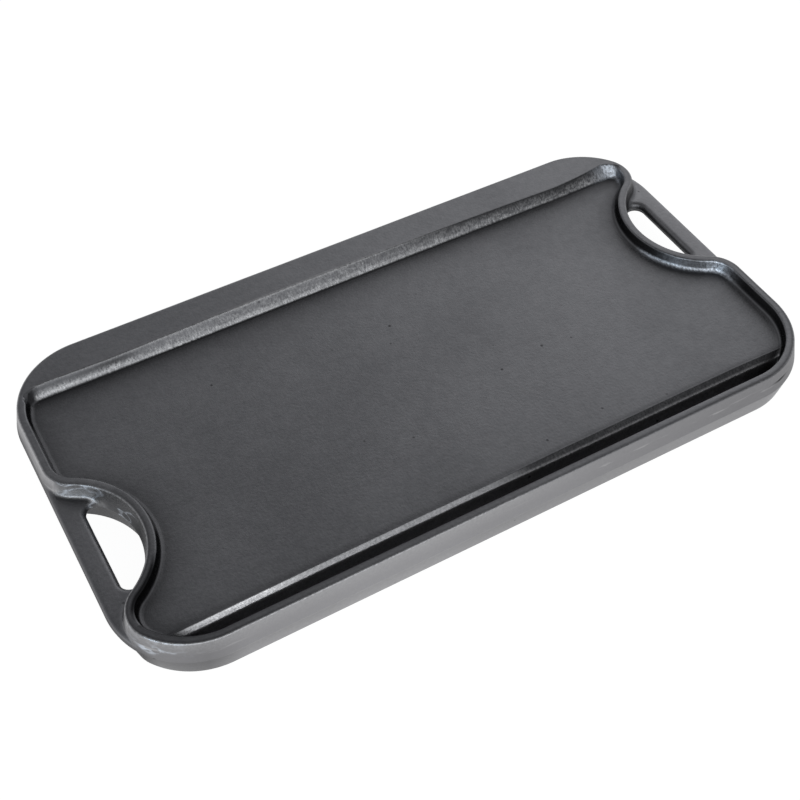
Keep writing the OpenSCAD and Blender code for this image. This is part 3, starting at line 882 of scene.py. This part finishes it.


# Seasoned cast iron: colours, roughness, relief, then each pattern's scale per metre with detail and
# roughness, its stretch, and the range of the pattern that is used. The shaded colour is painted shade,
# the palest grey is painted highlight, and the grey of the sand face and the bluish rubbed colour are
# painted highlight as well as rough, worn and rubbed metal
iron = {
    "seasoned": (0.114, 0.115, 0.121, 1), "thin": (0.148, 0.149, 0.156, 1),
    "wall": (0.300, 0.298, 0.308, 1), "shaded": (0.016, 0.016, 0.017, 1), "rawAndHighlight": (0.46, 0.46, 0.465, 1),
    "paintedLight": (0.90, 0.90, 0.91, 1), "rubbedAndHighlight": (0.70, 0.76, 0.84, 1), "pit": (0.05, 0.05, 0.052, 1),
    "edgeTint": (1, 1, 1, 1), "shadedTint": (0.06, 0.06, 0.06, 1), "roughness": 0.43,
    "wallRoughness": 0.40, "rawRoughness": 0.46, "lipRoughness": 0.30, "lipZ": (24.3 * mm, 23.8 * mm),
    "fineRoughness": (0.3, 0.7, -0.04, 0.05), "bump": 0.36, "wallBump": 0.162, "bumpDepth": 0.45 * mm,
    "pitRelief": 0.6, "sandRelief": 1.2, "fine": (460.0, 4.0, 0.6), "fineTone": (0.3, 0.7, -0.32, 0.32),
    "patches": (11.0, 4.0), "patchTone": (0.35, 0.65, 0.2, 0.8), "mottle": (190.0, 2.0),
    "mottleTone": (0.35, 0.65, -0.20, 0.20), "pits": 60.0, "pitSize": (0.08, 0.04), "pitGroups": 26.0,
    "pitGroupShare": (0.52, 0.6), "sand": (760.0, 4.0, 0.7), "sandStretch": (1.0, 0.5, 0.5),
    "flakes": (330.0, 3.0, 0.6), "flakeStretch": (0.35, 1.0, 1.0), "sandStep": (0.36, 0.64, 0.0, 1.5),
    "flakeStep": (0.38, 0.62, 0.55, 1.35), "sandLip": (0.30, 0.62, 0.55, 1.0),
    "sandLine": (0.3, 0.6, 0.3, 1.0), "sandHighlight": (0.36, 0.62, 0.2, 1.1), "flecks": (650.0, 2.0),
    "fleckShare": (0.30, 0.66, 0.35, 1.0), "dabs": 420.0, "dabStretch": (0.3, 0.3, 1.0),
    "dabShare": (0.50, 0.66), "dabZ": 24.0 * mm, "dabBand": (4.5 * mm, 1.5 * mm),
    "scratches": (95.0, 1.0), "scratchStretch": (0.6, 0.6, 1.3), "scratchWidth": (0.04, 0.0),
    "scratchBreaks": (0.3, 0.6), "streaks": 420.0, "streakStretch": (0.12, 0.12, 1.0),
    "streakRange": (0.5, 0.62), "streakZ": 24.3 * mm, "streakBand": (1.8 * mm, 0.4 * mm),
    "streakGroups": (9.0, 1.0), "streakGroupShare": (0.42, 0.56), "streakShare": 0.6,
    "seamBand": (1.3 * mm, 0.5 * mm),
}
finishAndLightNames = ("roughStepAndPaintedLight", "paintedLipAndFootLight", "wornEdgeAndHighlight", "wearAndHighlightLine", "wallGreyAndPaintedLight", "shade", "rubbedCorner",
               "paintedHighlight", "scratched", "seamMark")


def castIron(name):
    mat = bpy.data.materials.new(name)
    mat.use_nodes = True
    tree = mat.node_tree
    shader = tree.nodes["Principled BSDF"]
    place = addNode(tree, "ShaderNodeTexCoord").outputs["Object"]
    height = separate(tree, place)[2]
    share = {}
    for key in finishAndLightNames:
        share[key] = addNode(tree, "ShaderNodeAttribute", attribute_name=key).outputs["Fac"]
    fine = grain(tree, place, *iron["fine"])
    cells = addNode(tree, "ShaderNodeTexVoronoi", {"Vector": place, "Scale": iron["pits"]}).outputs
    pitGroups = ramp(tree, grain(tree, place, iron["pitGroups"]), *iron["pitGroupShare"])
    pits = times(tree, ramp(tree, cells["Distance"], *iron["pitSize"]), pitGroups)

    # rough sand face on the step, with its painted light and shade by height, and painted highlights on the
    # lip and the step's foot
    sand = grain(tree, stretch(tree, place, iron["sandStretch"]), *iron["sand"])
    flakes = grain(tree, stretch(tree, place, iron["flakeStretch"]), *iron["flakes"])
    stepShare = times(tree, share["roughStepAndPaintedLight"], ramp(tree, sand, *iron["sandStep"]),
                      ramp(tree, flakes, *iron["flakeStep"]))
    lipShare = times(tree, share["paintedLipAndFootLight"], ramp(tree, sand, *iron["sandLip"]))
    rawShare = calc(tree, "MAXIMUM", stepShare, lipShare)

    # worn line along the rim's edge that also carries a painted highlight, rubbed dabs at the left corners,
    # scratches in the left hand-hold
    flecks = ramp(tree, grain(tree, place, *iron["flecks"]), *iron["fleckShare"])
    wornAndHighlightShare = times(tree, share["wornEdgeAndHighlight"], flecks)
    dabs = grain(tree, stretch(tree, place, iron["dabStretch"]), iron["dabs"])
    dabs = ramp(tree, dabs, *iron["dabShare"])
    onWall = times(tree, nearTo(tree, height, iron["dabZ"], *iron["dabBand"]), share["wallGreyAndPaintedLight"])
    dabShare = times(tree, calc(tree, "MAXIMUM", onWall, share["wornEdgeAndHighlight"]), dabs, share["rubbedCorner"])
    wander = grain(tree, stretch(tree, place, iron["scratchStretch"]), *iron["scratches"])
    scratchShare = times(tree, nearTo(tree, wander, 0.5, *iron["scratchWidth"]),
                         ramp(tree, fine, *iron["scratchBreaks"]), share["scratched"])

    # broken streaks along the outer wall, and a short dark seam
    streaks = grain(tree, stretch(tree, place, iron["streakStretch"]), iron["streaks"])
    streakGroups = ramp(tree, grain(tree, place, *iron["streakGroups"]), *iron["streakGroupShare"])
    streakShare = times(tree, nearTo(tree, height, iron["streakZ"], *iron["streakBand"]),
                        ramp(tree, streaks, *iron["streakRange"]), share["wallGreyAndPaintedLight"], streakGroups,
                        iron["streakShare"])
    seamShare = times(tree, nearTo(tree, height, iron["streakZ"], *iron["seamBand"]), share["seamMark"])

    tone = calc(tree, "ADD", ramp(tree, grain(tree, place, *iron["patches"]), *iron["patchTone"]),
                ramp(tree, fine, *iron["fineTone"]))
    tone = calc(tree, "ADD", tone, ramp(tree, grain(tree, place, *iron["mottle"]), *iron["mottleTone"]))
    colour = blendColour(tree, tone, iron["seasoned"], iron["thin"])
    # painted highlight lines, worn metal as well along the ledge edge, and painted highlight spots
    lineShare = times(tree, share["wearAndHighlightLine"], ramp(tree, sand, *iron["sandLine"]))
    paintedHighlightShare = times(tree, share["paintedHighlight"], ramp(tree, sand, *iron["sandHighlight"]))
    # the wall grey is also painted light in the hand-holds, on the right bar and in the trough; shaded is
    # painted shade
    layers = ((share["wallGreyAndPaintedLight"], "wall"), (share["shade"], "shaded"), (stepShare, "rawAndHighlight"),
              (lipShare, "paintedLight"), (streakShare, "rawAndHighlight"), (wornAndHighlightShare, "rawAndHighlight"), (lineShare, "rawAndHighlight"),
              (paintedHighlightShare, "rubbedAndHighlight"), (dabShare, "rubbedAndHighlight"), (scratchShare, "rubbedAndHighlight"), (pits, "pit"),
              (seamShare, "shaded"))
    for layerShare, finish in layers:
        colour = blendColour(tree, layerShare, colour, iron[finish])
    tree.links.new(colour, shader.inputs["Base Color"])
    # painted shade also darkens the tint of the reflection, most at grazing angles
    tint = blendColour(tree, share["shade"], iron["edgeTint"], iron["shadedTint"])
    tree.links.new(tint, shader.inputs["Specular Tint"])

    rough = blendValue(tree, share["wallGreyAndPaintedLight"], iron["roughness"], iron["wallRoughness"])
    rough = blendValue(tree, rawShare, rough, iron["rawRoughness"])
    belowFloor = times(tree, lipShare, ramp(tree, height, *iron["lipZ"]))
    rough = blendValue(tree, belowFloor, rough, iron["lipRoughness"])
    rough = calc(tree, "ADD", rough, ramp(tree, fine, *iron["fineRoughness"]))
    tree.links.new(rough, shader.inputs["Roughness"])

    relief = calc(tree, "SUBTRACT", fine, times(tree, pits, iron["pitRelief"]))
    relief = calc(tree, "ADD", relief, times(tree, sand, rawShare, iron["sandRelief"]))
    strength = blendValue(tree, share["wallGreyAndPaintedLight"], iron["bump"], iron["wallBump"])
    sockets = {"Strength": strength, "Distance": iron["bumpDepth"], "Height": relief}
    bump = addNode(tree, "ShaderNodeBump", sockets)
    tree.links.new(bump.outputs[0], shader.inputs["Normal"])
    shader.inputs["Metallic"].default_value = 1.0
    return mat


rimIron = castIron("rimIron")
seasonedIron = castIron("seasonedIron")
casting.data.materials.append(rimIron)
print("stage: iron finishes made")

# Ribs of the grill side, under the floor; gap is the clear space to the walls around them
ribs = {"pitch": 14.0, "each": 16, "width": 6.5, "height": 6.0, "tipR": 1.6, "gap": 7.0,
        "shortest": 5.0, "sunk": 0.4, "endTaper": 5.0, "endSize": 0.12, "tryStep": 0.5, "ringGap": 2.5,
        "tipSteps": 4}


def ribLines():
    pts, lines = [], []
    first = -halfW + trough["lipIn"] + trough["wall"] + ribs["gap"]
    ys = np.arange(first, stepY - ribs["gap"] + sharpR, ribs["tryStep"])
    for i in range(-ribs["each"], ribs["each"] + 1):
        x = i * ribs["pitch"]
        room = insideRim(np.full_like(ys, x), ys) > wallFoot + ribs["gap"]
        free = np.concatenate([[False], room, [False]])
        starts, ends = np.where(free[1:] & ~free[:-1])[0], np.where(~free[1:] & free[:-1])[0] - 1
        for a, b in zip(starts, ends):
            if ys[b] - ys[a] < ribs["shortest"]:
                continue
            lines.append((len(pts), len(pts) + 1))
            pts += [(x * mm, ys[end] * mm, cookFloor["underZ"] * mm) for end in (a, b)]
    return pts, lines


def ribTree():
    tree = bpy.data.node_groups.new("grillRibs", "GeometryNodeTree")
    face = tree.interface
    face.new_socket("Geometry", in_out="INPUT", socket_type="NodeSocketGeometry")
    for name in ("Rib Width", "Rib Height", "Tip Radius", "Sunk", "End Taper"):
        face.new_socket(name, in_out="INPUT", socket_type="NodeSocketFloat")
    face.new_socket("Iron", in_out="INPUT", socket_type="NodeSocketMaterial")
    face.new_socket("Geometry", in_out="OUTPUT", socket_type="NodeSocketGeometry")
    given = addNode(tree, "NodeGroupInput").outputs
    curve = addNode(tree, "GeometryNodeMeshToCurve", {"Mesh": given["Geometry"]}).outputs[0]
    curve = addNode(tree, "GeometryNodeResampleCurve", {"Curve": curve, "Length": ribs["ringGap"] * mm},
                    mode="LENGTH").outputs[0]
    curve = addNode(tree, "GeometryNodeSetCurveNormal", {"Curve": curve}, mode="Z_UP").outputs[0]
    # the section narrows towards both ends
    along = addNode(tree, "GeometryNodeSplineParameter").outputs["Length"]
    whole = addNode(tree, "GeometryNodeSplineLength").outputs["Length"]
    near = calc(tree, "MINIMUM", along, calc(tree, "SUBTRACT", whole, along))
    size = addNode(tree, "ShaderNodeMapRange",
                   {"Value": near, "From Max": given["End Taper"], "To Min": ribs["endSize"]},
                   interpolation_type="SMOOTHERSTEP").outputs[0]
    full = calc(tree, "ADD", given["Rib Height"], given["Sunk"])
    tip = calc(tree, "SUBTRACT", given["Rib Width"], times(tree, full, 2 * math.tan(draft)))
    section = addNode(tree, "GeometryNodeCurvePrimitiveQuadrilateral",
                      {"Height": full, "Bottom Width": given["Rib Width"], "Top Width": tip, "Offset": 0.0},
                      mode="TRAPEZOID").outputs[0]
    where = separate(tree, addNode(tree, "GeometryNodeInputPosition").outputs[0])[1]
    tipR = times(tree, calc(tree, "GREATER_THAN", where, 0.0), given["Tip Radius"])
    section = addNode(tree, "GeometryNodeFilletCurve",
                      {"Curve": section, "Radius": tipR, "Count": ribs["tipSteps"]}, mode="POLY").outputs[0]
    lower = calc(tree, "SUBTRACT", times(tree, full, 0.5), given["Sunk"])
    down = addNode(tree, "ShaderNodeCombineXYZ", {1: lower}).outputs[0]
    section = addNode(tree, "GeometryNodeTransform", {"Geometry": section, "Translation": down}).outputs[0]
    solid = addNode(tree, "GeometryNodeCurveToMesh",
                    {"Curve": curve, "Profile Curve": section, "Scale": size, "Fill Caps": True}).outputs[0]
    solid = addNode(tree, "GeometryNodeSetShadeSmooth", {"Geometry": solid}).outputs[0]
    solid = addNode(tree, "GeometryNodeRealizeInstances", {"Geometry": solid}).outputs[0]
    solid = addNode(tree, "GeometryNodeSetMaterial",
                    {"Geometry": solid, "Material": given["Iron"]}).outputs[0]
    addNode(tree, "NodeGroupOutput", {0: solid})
    return tree


def makeRibs():
    pts, lines = ribLines()
    mesh = bpy.data.meshes.new("ribLines")
    mesh.from_pydata(pts, lines, [])
    made = bpy.data.objects.new("grillRibs", mesh)
    bpy.context.scene.collection.objects.link(made)
    tree = ribTree()
    modifier = made.modifiers.new("grillRibs", "NODES")
    modifier.node_group = tree
    sockets = {item.name: item.identifier for item in tree.interface.items_tree if item.in_out == "INPUT"}
    sizes = {"Rib Width": "width", "Rib Height": "height", "Tip Radius": "tipR", "Sunk": "sunk",
             "End Taper": "endTaper"}
    for name, key in sizes.items():
        modifier[sockets[name]] = ribs[key] * mm
    modifier[sockets["Iron"]] = seasonedIron
    solid = bpy.data.meshes.new_from_object(made.evaluated_get(bpy.context.evaluated_depsgraph_get()))
    made.modifiers.remove(modifier)
    made.data = solid
    solid.name = "grillRibs"
    zs = [v.co.z / mm for v in solid.vertices]
    print("stage: ribs", len(lines), "triangles", sum(len(p.vertices) - 2 for p in solid.polygons),
          "from", round(min(zs), 2), "to", round(max(zs), 2))
    return made


grillRibs = makeRibs()

# Camera, from the outline of the plate in the photograph
view = {"lens": 58.2115, "azimuth": 29.2547, "elevation": 49.4719, "roll": 0.26266, "sensor": 36,
        "clipEnd": 50, "distance": 0.897672, "target": (-0.011699, -0.001278, 0.0)}


def addCamera():
    a, e, r = (math.radians(view[k]) for k in ("azimuth", "elevation", "roll"))
    back = Vector((-math.sin(a) * math.cos(e), -math.cos(a) * math.cos(e), math.sin(e)))
    right = Vector((0, 0, 1)).cross(back).normalized()
    up = back.cross(right)
    tiltedRight = math.cos(r) * right - math.sin(r) * up
    tiltedUp = math.sin(r) * right + math.cos(r) * up
    cam = bpy.data.cameras.new("photoCamera")
    cam.lens = view["lens"]
    cam.sensor_width = view["sensor"]
    cam.clip_end = view["clipEnd"]
    made = bpy.data.objects.new("photoCamera", cam)
    turn = Matrix((tiltedRight, tiltedUp, back)).transposed()
    made.matrix_world = Matrix.Translation(Vector(view["target"]) + back * view["distance"]) @ turn.to_4x4()
    bpy.context.scene.collection.objects.link(made)
    bpy.context.scene.camera = made


addCamera()

# White paper in a room that is darker overhead and at the front, lighter towards the right.
# overhead, sideways and frontward are ranges of a direction's z, x and y, and the light at each end
studio = {"paperSize": 9.0, "paperZ": -0.1 * mm, "backdrop": 1.04, "paper": (0.86, 0.86, 0.86, 1),
          "glow": 1.12, "glowShare": 0.85, "sky": (0.95, 0.955, 0.98, 1),
          "overhead": (0.55, 0.92, 1.15, 0.40), "sideways": (-0.1, 0.6, 0.60, 1.02),
          "frontward": (-0.3, 0.4, 0.4, 1.0)}
# Two windows at the front and left, soft light from the rear right: place, width, height, watts, colour
lamps = {
    "frontWindow": ((-0.45, -1.95, 1.15), 3.2, 1.8, 25.0, (0.96, 0.98, 1.0)),
    "leftWindow": ((-1.80, -1.10, 0.62), 1.1, 1.0, 8.0, (0.80, 0.91, 1.0)),
    "rearSoftbox": ((1.5, 1.5, 1.5), 1.6, 1.6, 5.0, (1.0, 1.0, 1.0)),
}


def addPaper():
    s = studio["paperSize"] / 2
    z = studio["paperZ"]
    mesh = bpy.data.meshes.new("studioPaper")
    mesh.from_pydata([(-s, -s, z), (s, -s, z), (s, s, z), (-s, s, z)], [], [(0, 1, 2, 3)])
    made = bpy.data.objects.new("studioPaper", mesh)
    bpy.context.scene.collection.objects.link(made)
    mat = bpy.data.materials.new("studioPaper")
    mat.use_nodes = True
    tree = mat.node_tree
    tree.nodes.clear()
    path = addNode(tree, "ShaderNodeLightPath").outputs
    seen = calc(tree, "MAXIMUM", path["Is Camera Ray"], path["Is Glossy Ray"])
    paper = addNode(tree, "ShaderNodeBsdfDiffuse", {"Color": studio["paper"]}).outputs[0]
    glow = addNode(tree, "ShaderNodeEmission", {"Strength": studio["glow"]}).outputs[0]
    share = times(tree, seen, studio["glowShare"])
    lit = addNode(tree, "ShaderNodeMixShader", {0: share, 1: paper, 2: glow}).outputs[0]
    # clear from below, so that the grill side can be looked at
    behind = addNode(tree, "ShaderNodeNewGeometry").outputs["Backfacing"]
    clear = addNode(tree, "ShaderNodeBsdfTransparent").outputs[0]
    mixed = addNode(tree, "ShaderNodeMixShader", {0: behind, 1: lit, 2: clear}).outputs[0]
    addNode(tree, "ShaderNodeOutputMaterial", {0: mixed})
    mesh.materials.append(mat)


def addLight():
    world = bpy.data.worlds.new("studioWorld")
    bpy.context.scene.world = world
    world.use_nodes = True
    tree = world.node_tree
    toward = separate(tree, addNode(tree, "ShaderNodeTexCoord").outputs["Generated"])
    parts = zip((toward[2], toward[0], toward[1]), ("overhead", "sideways", "frontward"))
    level = times(tree, *(ramp(tree, part, *studio[name]) for part, name in parts))
    seen = addNode(tree, "ShaderNodeLightPath").outputs["Is Camera Ray"]
    level = blendValue(tree, seen, level, studio["backdrop"])
    tree.nodes["Background"].inputs[0].default_value = studio["sky"]
    tree.links.new(level, tree.nodes["Background"].inputs[1])
    for name, (place, width, height, watts, colour) in lamps.items():
        lamp = bpy.data.lights.new(name, "AREA")
        lamp.shape = "RECTANGLE"
        lamp.energy = watts
        lamp.size, lamp.size_y = width, height
        lamp.color = colour
        made = bpy.data.objects.new(name, lamp)
        made.location = place
        made.rotation_euler = (-Vector(place)).to_track_quat("-Z", "Y").to_euler()
        bpy.context.scene.collection.objects.link(made)
    bpy.context.scene.view_settings.view_transform = "Standard"


addPaper()
addLight()
print("stage: studio made")

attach(casting, "root")
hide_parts(*[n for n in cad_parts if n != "grill_ribs"])
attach(grillRibs, "root")
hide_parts("grill_ribs")

print("stage: done")
